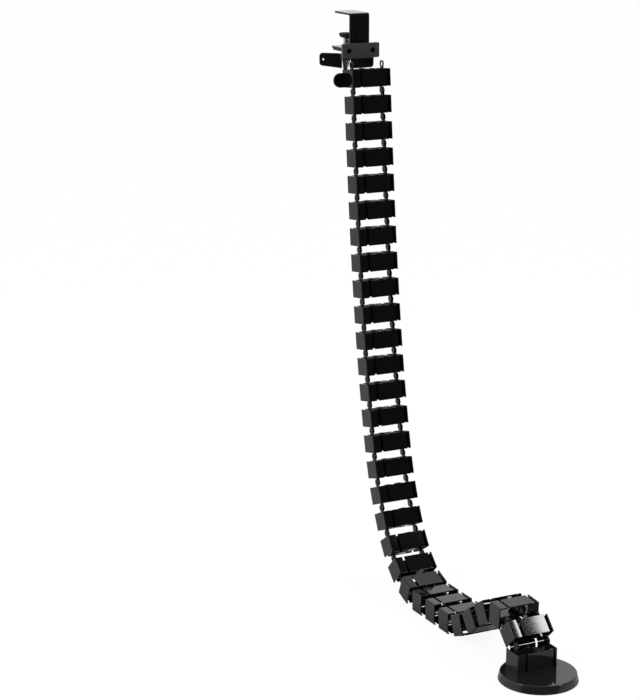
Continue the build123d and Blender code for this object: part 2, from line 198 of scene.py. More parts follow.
# Depth of a surface's fine relief, in metres
SKIN_DEPTH = 0.0001

# Stage, in metres and degrees
CAMERA_PLACE = (-1.4494, -2.80435, 0.2919)
CAMERA_TILT = 75.41
CAMERA_TURN = -26.47
FLOOR_CORNERS = ((-9, -0.95), (9, -0.95), (9, 14), (-9, 14))
FLOOR_GLOW = 1.08
FLOOR_GLOW_SHARE = 0.85
FRONT_LEVEL = 0.04
BACK_LEVEL = 1.0
HORIZON_SOFTNESS = 0.35
FRONT_LAMP_PLACE = (1.006, -1.197, 0.555)
FRONT_LAMP_TARGET = (0, -0.552, -0.797)
FRONT_LAMP_UPRIGHT = (0.04, 0.76, 0.65)
FRONT_LAMP_SIZE = (0.2, 0.3)
SIDE_LAMP_PLACE = (-2.3, -0.6, 0.6)
SIDE_LAMP_TARGET = (0, -0.2, -0.4)
SIDE_LAMP_UPRIGHT = (0, 0, 1)
SIDE_LAMP_SIZE = (0.5, 1.2)

# Outlines seen from the front are raised towards the viewer, outlines seen from the side to the right
FACING = Matrix.Rotation(radians(90), 4, "X")
SIDEWAYS = Matrix(((0, 0, 1, 0), (1, 0, 0, 0), (0, 1, 0, 0), (0, 0, 0, 1)))


def shift(x=0.0, y=0.0, z=0.0):
    """A move, in millimetres."""
    return Matrix.Translation((x, y, z))


def turn_about(axis, angle):
    """A turn about one of the main axes, in degrees."""
    return Matrix.Rotation(radians(angle), 4, axis)


# Outlines

def arc(centre, radius, start, end, steps):
    """Points along an arc, both ends included, with its angles in degrees."""
    angles = [radians(start + (end - start) * step / steps) for step in range(steps + 1)]
    return [Vector((centre[0] + radius * cos(a), centre[1] + radius * sin(a))) for a in angles]


def ring(radius, steps, centre=(0.0, 0.0)):
    """A full circle of points."""
    return arc(centre, radius, 0, 360, steps)[:-1]


def cornered(width, height, radius, steps=5):
    """A rectangle with round corners about the origin."""
    x, y = width / 2 - radius, height / 2 - radius
    points = arc((x, y), radius, 0, 90, steps) + arc((-x, y), radius, 90, 180, steps)
    return points + arc((-x, -y), radius, 180, 270, steps) + arc((x, -y), radius, 270, 360, steps)


def slot_outline(length, height, steps=14):
    """A plate outline with two fully round ends."""
    x, radius = (length - height) / 2, height / 2
    return arc((x, 0), radius, -90, 90, steps) + arc((-x, 0), radius, 90, 270, steps)


def cross_outline(reach, arm):
    """The outline of a cross recess."""
    a, r = arm / 2, reach / 2
    points = [(r, -a), (r, a), (a, a)]
    for quarter in range(3):
        points += [(-y, x) for x, y in points[-3:]]
    return [Vector(point) for point in points]


def knuckle_outline(radius, neck, reach, steps=28):
    """A round head about its pin, with a neck that reaches down from it."""
    half = neck / 2
    joins = [(side * half, drop) for side in (-1, 1) for drop in (-reach, -sqrt(radius ** 2 - half ** 2))]
    turns = [atan2(y, x) % (2 * pi) for x, y in joins]
    turns = sorted(turns + [2 * pi * step / steps for step in range(steps)])
    points = []
    for turn, following in zip(turns, turns[1:] + [4 * pi]):
        if following - turn < CLOSEST_TURNS:
            continue
        across, up = cos(turn), sin(turn)
        away = radius
        if up < 0:
            away = max(radius, min(reach / -up, half / max(abs(across), 1e-6)))
        points.append(Vector((away * across, away * up)))
    return points


def link_outline():
    """The link seen from above: two lips, two panels, the bar and two bosses, as one outline."""
    corner_x, corner_y = HALF_WIDTH - OUTER_CORNER, HALF_DEPTH - OUTER_CORNER
    inner_x, inner_y = HALF_WIDTH - WALL, HALF_DEPTH - WALL
    boss_angle = degrees(atan2(BOSS_REACH, sqrt(BOSS_RADIUS ** 2 - BOSS_REACH ** 2)))
    end_y, end_r = -(HALF_DEPTH - WALL / 2), WALL / 2
    points = [Vector((-inner_x, -HALF_BAR))]
    points += arc((BOSS_X, BOSS_Y), BOSS_RADIUS, 180 - boss_angle, 180 + boss_angle, 8)
    points += arc((PANEL_LEFT + end_r, end_y), end_r, 90, 270, 4)
    points += arc((PANEL_RIGHT - end_r, end_y), end_r, -90, 90, 4)
    points += arc((BOSS_X, BOSS_Y), BOSS_RADIUS, -boss_angle, boss_angle, 8)
    points += [Vector((inner_x, -HALF_BAR)), Vector((inner_x, -inner_y))]
    points += arc((NARROW_LIP_END + end_r, end_y), end_r, 90, 270, 4)
    points += arc((corner_x, -corner_y), OUTER_CORNER, -90, 0, 6)
    points += arc((corner_x, corner_y), OUTER_CORNER, 0, 90, 6)
    points += arc((WIDE_LIP_END + end_r, -end_y), end_r, 90, 270, 4)
    points += [Vector((inner_x, inner_y))]
    return points + [-point for point in points]


def inset(outline, distance):
    """An anticlockwise outline moved inwards by a distance."""
    moved = []
    for index, here in enumerate(outline):
        before, after = here - outline[index - 1], outline[(index + 1) % len(outline)] - here
        before.normalize()
        after.normalize()
        inward = Vector((-before.y - after.y, before.x + after.x)).normalized()
        lean = max(LEAST_LEAN, inward.dot(Vector((-before.y, before.x))))
        moved.append(here + inward * (distance / lean))
    return moved


# Solids

def add_ring(bm, points, height, place):
    """One closed loop of vertices at a height above the outline's plane."""
    return [bm.verts.new(place @ Vector((point.x, point.y, height))) for point in points]


def join_rings(bm, rings):
    """The faces between each ring and the next."""
    for low, high in zip(rings, rings[1:]):
        count = len(low)
        for index in range(count):
            following = (index + 1) % count
            bm.faces.new((low[index], low[following], high[following], high[index]))


def soft_plate(bm, outline, depth, edge, place, holes=(), steps=2):
    """A plate with rounded edges and any holes, raised by a depth from its outline's plane."""
    levels = []
    for step in range(steps + 1):
        turn = pi / 2 * step / steps
        levels.append((edge * (1 - sin(turn)), edge * (1 - cos(turn))))
    levels += [(inward, depth - height) for inward, height in reversed(levels)]
    loops = [[add_ring(bm, inset(outline, inward), height, place) for inward, height in levels]]
    for hole in holes:
        loops.append([add_ring(bm, inset(hole, -inward), height, place) for inward, height in levels])
    for rings in loops:
        join_rings(bm, rings)
    for end in (0, -1):
        rims = []
        for rings in loops:
            rim = rings[end]
            rims += [bm.edges.get((rim[i - 1], rim[i])) for i in range(len(rim))]
        bmesh.ops.triangle_fill(bm, use_beauty=True, use_dissolve=False, edges=rims)


def turned(bm, profile, place, steps=40):
    """A turned form from a profile of radius and height, open only where the profile is."""
    rings = []
    for radius, height in profile:
        if radius < 1e-6:
            rings.append([bm.verts.new(place @ Vector((0, 0, height)))])
        else:
            rings.append(add_ring(bm, ring(radius, steps), height, place))
    for low, high in zip(rings, rings[1:]):
        for index in range(steps):
            following = (index + 1) % steps
            corners = [low[0]] if len(low) == 1 else [low[index], low[following]]
            corners += [high[0]] if len(high) == 1 else [high[following], high[index]]
            if len(corners) > 2:
                bm.faces.new(corners)


def closed_turned(bm, profile, place, steps=40):
    """A turned ring whose profile is a closed outline."""
    turned(bm, tuple(profile) + (profile[0],), place, steps)


def swept_strip(bm, path, width, thickness, edge, tips=(0.0, 0.0)):
    """A folded strip along points of the YZ plane, with corner radii at its two tips."""
    lengths = [0.0]
    for start, end in zip(path, path[1:]):
        lengths.append(lengths[-1] + (end - start).length)
    rings = []
    for index, point in enumerate(path):
        before, after = path[max(index - 1, 0)], path[min(index + 1, len(path) - 1)]
        along = (after - before).normalized()
        normal = Vector((-along.y, along.x))
        half, thick = width / 2, thickness / 2
        for tip, distance in zip(tips, (lengths[index], lengths[-1] - lengths[index])):
            if distance < tip:
                half = min(half, width / 2 - tip + sqrt(tip ** 2 - (tip - distance) ** 2))
            if distance < edge:
                thick = min(thick, thickness / 2 - edge + distance)
        section = cornered(2 * half, 2 * thick, edge * 0.6, 2)
        rings.append([
            bm.verts.new((p.x, point.x + normal.x * p.y, point.y + normal.y * p.y)) for p in section])
    join_rings(bm, rings)
    bm.faces.new(rings[0])
    bm.faces.new(rings[-1])


def fold(points, radius, tip_steps=6, tip=0.0, steps=6):
    """The points of a folded path, with an arc at each corner and closer points near its ends."""
    path = []
    for index, here in enumerate(points):
        here = Vector(here)
        if index in (0, len(points) - 1):
            towards = (Vector(points[1 if index == 0 else -2]) - here).normalized()
            near = [here + towards * (tip * (step / tip_steps) ** 2) for step in range(tip_steps + 1)]
            near = near if tip else [here, here + towards * 0.4]
            path += near if index == 0 else list(reversed(near))
            continue
        back = (Vector(points[index - 1]) - here).normalized()
        ahead = (Vector(points[index + 1]) - here).normalized()
        opening = back.angle(ahead)
        reach = radius / tan(opening / 2)
        centre = here + (back + ahead).normalized() * (radius / sin(opening / 2))
        start, end = here + back * reach - centre, here + ahead * reach - centre
        sweep = start.angle_signed(end)
        for step in range(steps + 1):
            c, s = cos(-sweep * step / steps), sin(-sweep * step / steps)
            path.append(centre + Vector((start.x * c - start.y * s, start.x * s + start.y * c)))
    return path


def as_mesh(bm, name):
    """The finished mesh in metres, smooth but for its sharp edges."""
    bmesh.ops.remove_doubles(bm, verts=bm.verts, dist=1e-4)
    bmesh.ops.recalc_face_normals(bm, faces=bm.faces)
    bmesh.ops.scale(bm, vec=(MILLIMETRE,) * 3, verts=bm.verts)
    for face in bm.faces:
        face.smooth = True
    for edge in bm.edges:
        edge.smooth = edge.calc_face_angle(0.0) < SMOOTH_ANGLE
    mesh = bpy.data.meshes.new(name)
    bm.to_mesh(mesh)
    bm.free()
    return mesh


def as_piece(mesh, name, material, body, nodes, place=None):
    """An object that shows a mesh, rides on a body and stands for its construction nodes."""
    piece = bpy.data.objects.new(name, mesh)
    bpy.context.scene.collection.objects.link(piece)
    if not mesh.materials:
        mesh.materials.append(material)
    if place is not None:
        mesh.transform(place)
    flat = piece.modifiers.new("even shading", "WEIGHTED_NORMAL")
    flat.keep_sharp = True
    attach(piece, body)
    if nodes:
        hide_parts(*nodes)
    return piece


def dress(node, material):
    """A construction node that is shown as it is, with its finish."""
    piece = frame["nodes"][node]
    piece.data.materials.clear()
    piece.data.materials.append(material)


# Finishes

class Socket:
    """An output of a node, on which Python's operators add Math nodes."""

    def __init__(self, finish, source):
        self.finish = finish
        self.source = source

    def maths(self, operation, first, second):
        """A Math node on two values, either of which may be a plain number."""
        return self.finish.node("ShaderNodeMath", {"operation": operation}, {0: first, 1: second})

    def __add__(self, other):
        return self.maths("ADD", self, other)

    __radd__ = __add__

    def __mul__(self, other):
        return self.maths("MULTIPLY", self, other)

    __rmul__ = __mul__

    def __sub__(self, other):
        return self.maths("SUBTRACT", self, other)

    def __rsub__(self, other):
        return self.maths("SUBTRACT", other, self)


class Finish:
    """The node tree of a material or of the world."""

    def __init__(self, owner):
        owner.use_nodes = True
        self.owner = owner
        self.tree = owner.node_tree
        self.tree.nodes.clear()

    def node(self, kind, settings, inputs, output=0):
        """A node with its settings made first, then its sockets; returns one of its outputs."""
        made = self.tree.nodes.new(kind)
        for name, value in settings.items():
            setattr(made, name, value)
        for name, value in inputs.items():
            if isinstance(value, Socket):
                self.tree.links.new(value.source, made.inputs[name])
            else:
                made.inputs[name].default_value = value
        return Socket(self, made.outputs[output]) if len(made.outputs) else None

    def grain(self, scale, stretch=(1, 1, 1), detail=3.0):
        """Noise fixed to the piece, stretched along its axes."""
        place = self.node("ShaderNodeTexCoord", {}, {}, "Object")
        stretched = self.node("ShaderNodeVectorMath", {"operation": "MULTIPLY"}, {0: place, 1: stretch})
        return self.node("ShaderNodeTexNoise", {}, {"Vector": stretched, "Scale": scale, "Detail": detail})

    def shades(self, level, dark, light):
        """A colour between two, by a level from 0 to 1."""
        return self.node(
            "ShaderNodeMix", {"data_type": "RGBA"}, {"Factor": level, 6: (*dark, 1), 7: (*light, 1)}, 2)

    def bump(self, height, strength, distance):
        """A surface normal from a height in parts of the distance, in metres."""
        return self.node("ShaderNodeBump", {}, {"Height": height, "Strength": strength, "Distance": distance})

    def surface(self, inputs):
        """The principled shader, joined to the material's output."""
        shader = self.node("ShaderNodeBsdfPrincipled", {}, inputs)
        self.node("ShaderNodeOutputMaterial", {}, {"Surface": shader})
        return self.owner


def new_finish(name):
    """An empty finish on a new material."""
    return Finish(bpy.data.materials.new(name))


def grey(level):
    """A plain grey colour."""
    return (level, level, level)


def gloss_plastic(name, colour, roughness):
    """Moulded gloss plastic with faint draw lines along the mould and a slightly uneven gloss."""
    finish = new_finish(name)
    lines = finish.grain(900, (1, 1, 0.06), 2)
    waves = finish.grain(70)
    fine = finish.grain(2600)
    dark, light = [channel * 0.8 for channel in colour], [channel * 1.3 for channel in colour]
    return finish.surface({
        "Base Color": finish.shades(waves, dark, light),
        "Roughness": roughness * 0.75 + waves * (roughness * 0.5),
        "IOR": 1.47,
        "Normal": finish.bump(lines * 0.6 + fine * 0.4, 0.05, SKIN_DEPTH),
    })


def powder_coat(name, colour, roughness):
    """Gloss powder coat with a faint orange-peel skin."""
    finish = new_finish(name)
    peel = finish.grain(700, detail=1)
    waves = finish.grain(90)
    dark, light = [channel * 0.8 for channel in colour], [channel * 1.25 for channel in colour]
    return finish.surface({
        "Base Color": finish.shades(waves, dark, light),
        "Roughness": roughness * 0.8 + waves * (roughness * 0.4),
        "IOR": 1.5,
        "Normal": finish.bump(peel, 0.1, SKIN_DEPTH),
    })


def metal(name, colour, roughness, metallic=1.0, stretch=(1, 1, 1)):
    """Bare or plated metal with brushed or mottled gloss."""
    finish = new_finish(name)
    marks = finish.grain(1400, stretch, 4)
    clouds = finish.grain(120)
    dark, light = [channel * 0.86 for channel in colour], [min(channel * 1.1, 1) for channel in colour]
    return finish.surface({
        "Base Color": finish.shades(clouds, dark, light),
        "Metallic": metallic,
        "Roughness": roughness * 0.7 + marks * (roughness * 0.6),
        "Normal": finish.bump(marks, 0.1, SKIN_DEPTH / 2),
    })


def soft_rubber(name, colour):
    """Matt rubber with a fine grain."""
    finish = new_finish(name)
    grains = finish.grain(1800)
    dark, light = [channel * 0.8 for channel in colour], [channel * 1.3 for channel in colour]
    return finish.surface({
        "Base Color": finish.shades(grains, dark, light),
        "Roughness": 0.65 + grains * 0.2,
        "Normal": finish.bump(grains, 0.25, SKIN_DEPTH),
    })


# Parts of pieces

def hinge_axes():
    """The hinge axes from the first link's eyes to the foot, in millimetres."""
    joints = {joint["name"]: joint for joint in frame["joints"]}
    places = [joints[f"hinge_{number:02d}"]["pos_m"] for number in range(1, LINK_COUNT + 1)]
    return [FIRST_AXIS] + [Vector(place) / MILLIMETRE for place in places]


def link_place(number):
    """Moves a link that is drawn hanging to its place, in metres, counted from 1."""
    start, end = hinge_axes()[number - 1:number + 1]
    turn = atan2(end.y - start.y, start.z - end.z)
    return Matrix.Translation(start * MILLIMETRE) @ Matrix.Rotation(turn, 4, "X")


def add_hollow(bm, length, edge):
    """The hollow body with its domed boss ends."""
    soft_plate(bm, link_outline(), length, edge, shift(z=LINK_TOP - length))
    for side in (1, -1):
        turned(bm, DOME_PROFILE, shift(side * BOSS_X, side * BOSS_Y, LINK_TOP), 28)


def add_eyes(bm, edge):
    """The pair of eyes on the top axis."""
    outline = knuckle_outline(EYE_RADIUS, EYE_NECK, -LINK_TOP + NECK_SINK)
    for x in (EYE_INNER, -EYE_INNER - EYE_THICKNESS):
        soft_plate(bm, outline, EYE_THICKNESS, edge, shift(x) @ SIDEWAYS, [ring(EYE_BORE, 24)])


def add_lugs(bm, edge):
    """The pair of lugs on the bottom axis, with their snap pins."""
    outline = knuckle_outline(LUG_RADIUS, LUG_NECK, LINK_BOTTOM + LINK_PITCH + NECK_SINK)
    pin_end = EYE_INNER + EYE_THICKNESS + PIN_OVERHANG
    dimple_floor = pin_end - PIN_DIMPLE_DEPTH
    profile = (
        (PIN_RADIUS, LUG_INNER + 1), (PIN_RADIUS, pin_end - 0.7), (PIN_RADIUS - 0.25, pin_end - 0.2),
        (PIN_RADIUS - 0.7, pin_end), (PIN_DIMPLE_RADIUS, pin_end), (0.95, dimple_floor), (0, dimple_floor))
    for side in (1, -1):
        flip = Matrix.Scale(side, 4, (1, 0, 0))
        over = turn_about("X", 180)
        place = flip @ shift(LUG_INNER, 0, -LINK_PITCH) @ over @ SIDEWAYS
        soft_plate(bm, outline, LUG_THICKNESS, edge, place)
        turned(bm, profile, flip @ shift(0, 0, -LINK_PITCH) @ SIDEWAYS, 24)


def add_ear_plate(bm, edge):
    """The first link's screw plate across its back."""
    holes = [ring(EAR_HOLE_RADIUS, 24, (x, 0)) for x in (-EAR_HOLE_X, EAR_HOLE_X)]
    place = shift(0, HALF_DEPTH + EAR_PLATE_THICKNESS, LINK_BOTTOM + EAR_PLATE_HEIGHT / 2) @ FACING
    outline = slot_outline(EAR_PLATE_SPAN, EAR_PLATE_HEIGHT)
    soft_plate(bm, outline, EAR_PLATE_THICKNESS + EAR_PLATE_SINK, edge, place, holes)


def add_recessed_head(bm, radius, height, recess, place, rounding=0.3):
    """A screw head towards the viewer, with a recess of its own outline."""
    soft_plate(bm, ring(radius, 36), height, rounding, place, [recess], 3)
    turned(bm, ((0, 0.05), (radius - rounding, 0.05)), place, 36)
    turned(bm, ((radius * 0.55, height * 0.35), (0, height * 0.35)), place, 36)


# Settings

class LinkLook(bpy.types.PropertyGroup):
    """The links' finish."""

    edge: bpy.props.FloatProperty(
        name="Edge rounding", description="Radius of a link's edges, in millimetres",
        default=0.4, min=0.05, max=0.9)
    plastic: bpy.props.FloatVectorProperty(
        name="Plastic", description="Colour of the moulded plastic", default=(0.0035, 0.0035, 0.0038),
        subtype="COLOR", min=0, max=1)
    roughness: bpy.props.FloatProperty(
        name="Roughness", description="Roughness of the moulded plastic", default=0.08, min=0, max=1,
        subtype="FACTOR")


class ClampLook(bpy.types.PropertyGroup):
    """The clamp's finishes."""

    edge: bpy.props.FloatProperty(
        name="Edge rounding", description="Radius of the steel's edges, in millimetres",
        default=0.5, min=0.05, max=1)
    steel: bpy.props.FloatVectorProperty(
        name="Steel", description="Colour of the coated steel", default=(0.004, 0.004, 0.0045),
        subtype="COLOR", min=0, max=1)
    block: bpy.props.FloatVectorProperty(
        name="Block", description="Colour of the satin block", default=(0.17, 0.17, 0.175),
        subtype="COLOR", min=0, max=1)
    plating: bpy.props.FloatVectorProperty(
        name="Plating", description="Colour of the plated screw", default=(0.62, 0.62, 0.63),
        subtype="COLOR", min=0, max=1)


class FootLook(bpy.types.PropertyGroup):
    """The foot's finish."""

    plastic: bpy.props.FloatVectorProperty(
        name="Cover", description="Colour of the round cover", default=(0.014, 0.014, 0.0145),
        subtype="COLOR", min=0, max=1)
    roughness: bpy.props.FloatProperty(
        name="Roughness", description="Roughness of the round cover", default=0.08, min=0, max=1,
        subtype="FACTOR")


class StageLook(bpy.types.PropertyGroup):
    """The floor, lamps and camera."""

    floor: bpy.props.FloatVectorProperty(
        name="Floor", description="Colour of the floor", default=(0.85, 0.85, 0.85), subtype="COLOR",
        min=0, max=1)
    lens: bpy.props.FloatProperty(
        name="Lens", description="Focal length of the camera", default=105.6, min=20, max=300,
        subtype="DISTANCE_CAMERA")
    key_power: bpy.props.FloatProperty(
        name="Front lamp", description="Power of the front lamp", default=4, min=0, max=500, subtype="POWER",
        unit="POWER")
    side_power: bpy.props.FloatProperty(
        name="Side lamp", description="Power of the side lamp", default=14, min=0, max=500, subtype="POWER",
        unit="POWER")
    ambient: bpy.props.FloatProperty(
        name="Ambient", description="Level of the light from all round", default=0.6, min=0, max=2)


# Operators

class SPINE_OT_links(bpy.types.Operator):
    """Builds the chain of hinged links"""

    bl_idname = "spine.links"
    bl_label = "Links"

    def execute(self, context):
        look = context.scene.spine_links
        plastic = gloss_plastic("link plastic", look.plastic, look.roughness)
        bm = bmesh.new()
        add_hollow(bm, LINK_LENGTH, look.edge)
        add_eyes(bm, look.edge)
        add_lugs(bm, look.edge)
        first = bm.copy()
        link_mesh = as_mesh(bm, "link")
        add_ear_plate(first, look.edge)
        first_mesh = as_mesh(first, "first link")
        as_piece(first_mesh, "first_link", plastic, "clamp", ["link_01"], link_place(1))
        for number in range(2, LINK_COUNT + 1):
            link = f"link_{number:02d}"
            as_piece(
                link_mesh.copy(), f"chain_{link}", plastic, f"{link}_body", [link],
                link_place(number))
        return {"FINISHED"}


class SPINE_OT_frame(bpy.types.Operator):
    """Builds the folded clamp frame"""

    bl_idname = "spine.frame"
    bl_label = "Clamp frame"

    def execute(self, context):
        look = context.scene.spine_clamp
        half = STRIP_THICKNESS / 2
        bm = bmesh.new()
        web, arm = WEB_REAR - half, ARM_TOP - half
        path = fold(((JAW_TIP, half), (web, half), (web, arm), (ARM_TIP, arm)), FOLD_RADIUS, tip=TIP_RADIUS)
        swept_strip(bm, path, STRIP_WIDTH, STRIP_THICKNESS, look.edge, (TIP_RADIUS, TIP_RADIUS))
        soft_plate(
            bm, cornered(WEB_EAR_SPAN, WEB_EAR_HEIGHT, WEB_EAR_CORNER), STRIP_THICKNESS - 0.1, look.edge,
            shift(0, WEB_REAR - 0.05, BLOCK_MIDDLE) @ FACING)
        self.add_flanges(bm, look.edge)
        self.add_ribs(bm)
        bore, wide, low = ARM_BOSS_BORE, ARM_BOSS_RADIUS, -ARM_BOSS_HEIGHT
        boss = ((bore, 0.5), (bore, low), (wide - 0.5, low), (wide, low + 0.5), (wide, 0.5))
        turned(bm, boss, shift(0, SPINDLE_Y, ARM_TOP - 1))
        coat = powder_coat("black steel", look.steel, 0.1)
        as_piece(as_mesh(bm, "clamp frame"), "folded_frame", coat, "clamp", ["clamp_frame"])
        return {"FINISHED"}

    def add_flanges(self, bm, edge):
        """The turned-down edges of the arm."""
        start, end = WEB_REAR - STRIP_THICKNESS, ARM_TIP - TIP_RADIUS
        high, low = ARM_UNDER + 1, ARM_UNDER - FLANGE_DROP
        corners = ((start, low), (end - FLANGE_SLANT, low), (end, high), (start, high))
        outline = [Vector(corner) for corner in corners]
        for x in (STRIP_WIDTH / 2 - FLANGE_THICKNESS, -STRIP_WIDTH / 2):
            soft_plate(bm, outline, FLANGE_THICKNESS, edge, shift(x) @ SIDEWAYS)

    def add_ribs(self, bm):
        """The two pressed ribs of the web."""
        for x, length in RIB_PLACES_AND_LENGTHS:
            place = shift(x, WEB_FRONT + 1, RIB_TOP - length / 2) @ FACING @ turn_about("Z", 90)
            soft_plate(bm, slot_outline(length, RIB_WIDTH, 8), RIB_DEPTH, 0.95, place, steps=5)


class SPINE_OT_block(bpy.types.Operator):
    """Builds the grey block with its screws and the bolt above it"""

    bl_idname = "spine.block"
    bl_label = "Mounting block"

    def execute(self, context):
        look = context.scene.spine_clamp
        satin = metal("satin block", look.block, 0.42, 0.9, (0.1, 1, 1))
        dark = metal("dark screw", grey(0.015), 0.35, 0.9)
        bm = bmesh.new()
        holes = [ring(SCREW_HOLE_RADIUS, 32, (x, 0)) for x in (-SCREW_X, SCREW_X)]
        soft_plate(
            bm, cornered(BLOCK_WIDTH, BLOCK_HEIGHT, BLOCK_CORNER), STRAP_FRONT - BLOCK_FRONT, 0.5,
            shift(0, STRAP_FRONT, BLOCK_MIDDLE) @ FACING, holes, 3)
        for side, cut in ((-1, STRAP_ARM_HEIGHT), (1, 0.1)):
            cheek_middle = side * (BLOCK_WIDTH / 2 + STRAP_WIDTH / 2) / 2
            cheek_width = (BLOCK_WIDTH - STRAP_WIDTH) / 2 - CHEEK_MARGIN
            hole = ring(SCREW_HOLE_RADIUS, 32, (side * SCREW_X - cheek_middle, -cut / 2))
            soft_plate(
                bm, cornered(cheek_width, BLOCK_HEIGHT - cut, BLOCK_CORNER), CHEEK_THICKNESS, 0.4,
                shift(cheek_middle, WEB_FRONT, BLOCK_MIDDLE + cut / 2) @ FACING, [hole])
        as_piece(as_mesh(bm, "block"), "grey_block", satin, "clamp", ["mounting_block"])
        self.add_screws(dark)
        return {"FINISHED"}

    def add_screws(self, dark):
        """The block's two recessed screws and the strap's round-headed bolt."""
        bm = bmesh.new()
        recess = cross_outline(SCREW_CROSS_REACH, SCREW_CROSS_ARM)
        end, thick = -SCREW_LENGTH, SCREW_SHANK_RADIUS
        shank = ((0, end), (1.7, end), (thick, end + 0.5), (thick, -1.4), (SCREW_HEAD_RADIUS, 0.2))
        for x in (-SCREW_X, SCREW_X):
            place = shift(x, BLOCK_FRONT + SCREW_HEAD_HEIGHT, BLOCK_MIDDLE) @ FACING
            add_recessed_head(bm, SCREW_HEAD_RADIUS, SCREW_HEAD_HEIGHT, recess, place, 0.15)
            turned(bm, shank, place, 32)
        screws = as_mesh(bm, "block screws")
        as_piece(screws, "recessed_screws", dark, "clamp", ["block_screws"])
        bm = bmesh.new()
        place = shift(0, STRAP_FRONT, BLOCK_TOP + BOLT_ABOVE_BLOCK) @ FACING
        turned(bm, BOLT_DOME_PROFILE, place, 36)
        turned(bm, BOLT_SOCKET_PROFILE, place, 6)
        turned(bm, BOLT_SHANK_PROFILE, place, 24)
        as_piece(as_mesh(bm, "round bolt"), "round_bolt", dark, "clamp", ["strap_bolt"])


class SPINE_OT_screw(bpy.types.Operator):
    """Builds the clamp screw with its hub, pad and wing handle"""

    bl_idname = "spine.screw"
    bl_label = "Clamp screw"

    def execute(self, context):
        look = context.scene.spine_clamp
        zinc = metal("zinc plate", look.plating, 0.24)
        moulded = gloss_plastic("handle plastic", grey(0.004), 0.12)
        rubber = soft_rubber("pad rubber", grey(0.006))
        self.add_spindle(zinc)
        self.add_handle(moulded)
        self.add_pad(rubber)
        return {"FINISHED"}

    def add_spindle(self, zinc):
        """The threaded spindle with its turned hub and point."""
        bm = bmesh.new()
        rows_per_turn, around = 6, 36
        length = SPINDLE_TOP - HUB_TOP
        rows = int(length / THREAD_PITCH * rows_per_turn)
        rings = []
        for row in range(rows + 1):
            height = HUB_TOP + length * row / rows
            loop = []
            for step in range(around):
                phase = (height / THREAD_PITCH - step / around) % 1.0
                radius = SPINDLE_RADIUS - THREAD_DEPTH * abs(2 * phase - 1)
                angle = 2 * pi * step / around
                loop.append(bm.verts.new((radius * cos(angle), SPINDLE_Y + radius * sin(angle), height)))
            rings.append(loop)
        join_rings(bm, rings)
        bm.faces.new(rings[-1])
        low = HUB_TOP - HUB_HEIGHT
        point = low - CONE_HEIGHT
        profile = (
            (0, HUB_TOP), (HUB_RADIUS - 0.4, HUB_TOP), (HUB_RADIUS, HUB_TOP - 0.4), (HUB_RADIUS, low),
            (HUB_RADIUS - 0.5, low - 1.0), (1.9, point + 0.8), (1.2, point), (0, point))
        turned(bm, profile, shift(0, SPINDLE_Y, 0), 48)
        as_piece(as_mesh(bm, "spindle"), "threaded_spindle", zinc, "screw", ["clamp_screw"])

    def add_handle(self, moulded):
        """The collar and the two wings."""
        bm = bmesh.new()
        place = shift(0, SPINDLE_Y, HUB_TOP) @ turn_about("Z", WING_TURN)
        near, far, low = HUB_RADIUS + 0.3, COLLAR_RADIUS, -HUB_HEIGHT
        collar = (
            (near, -0.4), (near + 0.4, 0), (far - 1.0, 0), (far - 0.3, -0.3), (far, -1.0), (far, low + 1.0),
            (far - 0.3, low + 0.3), (far - 1.0, low), (near + 0.4, low), (near, low + 0.4))
        closed_turned(bm, collar, place, 48)
        inner, outer = HUB_RADIUS + WING_INNER_GAP, WING_REACH - WING_CORNER
        outline = [Vector((inner, 0)), Vector((inner, -WING_ROOT_HEIGHT))]
        outline += arc((outer, WING_CORNER - WING_HEIGHT), WING_CORNER, -90, 0, 8)
        outline += arc((outer, -WING_CORNER), WING_CORNER, 0, 90, 8)
        hole = ring(WING_HOLE_RADIUS, 20, (WING_REACH - WING_HOLE_INSET, -WING_HEIGHT / 2))
        for half_turn, holes in ((0, []), (180, [hole])):
            wing = place @ turn_about("Z", half_turn) @ shift(0, WING_THICKNESS / 2) @ FACING
            soft_plate(bm, outline, WING_THICKNESS, WING_EDGE, wing, holes, 4)
        as_piece(as_mesh(bm, "wing handle"), "wings", moulded, "screw", ["wing_handle"])

    def add_pad(self, rubber):
        """The round pad, domed below."""
        bm = bmesh.new()
        near, far, low, high = SPINDLE_RADIUS + 0.1, PAD_RADIUS, PAD_UNDER, PAD_TOP
        profile = (
            (0, low + 1), (near, low + 1), (near, low), (far - 4, low), (far - 2.2, low + 0.9),
            (far - 0.9, low + 2.2), (far - 0.1, low + 3.8), (far, high - 0.8), (far - 0.2, high - 0.2),
            (far - 0.8, high), (0, high))
        turned(bm, profile, shift(0, SPINDLE_Y, 0), 56)
        as_piece(as_mesh(bm, "pad"), "round_pad", rubber, "pad", ["pressure_pad"])


class SPINE_OT_strap(bpy.types.Operator):
    """Finishes the hanger strap and the small fasteners"""

    bl_idname = "spine.strap"
    bl_label = "Strap and fasteners"

    def execute(self, context):
        look = context.scene.spine_clamp
        coat = powder_coat("strap coat", look.steel, 0.22)
        dark = metal("dark fasteners", grey(0.05), 0.3, 0.9)
        dress("hanger_strap", coat)
        for node in ("block_nuts", "strap_screws"):
            dress(node, dark)
        return {"FINISHED"}


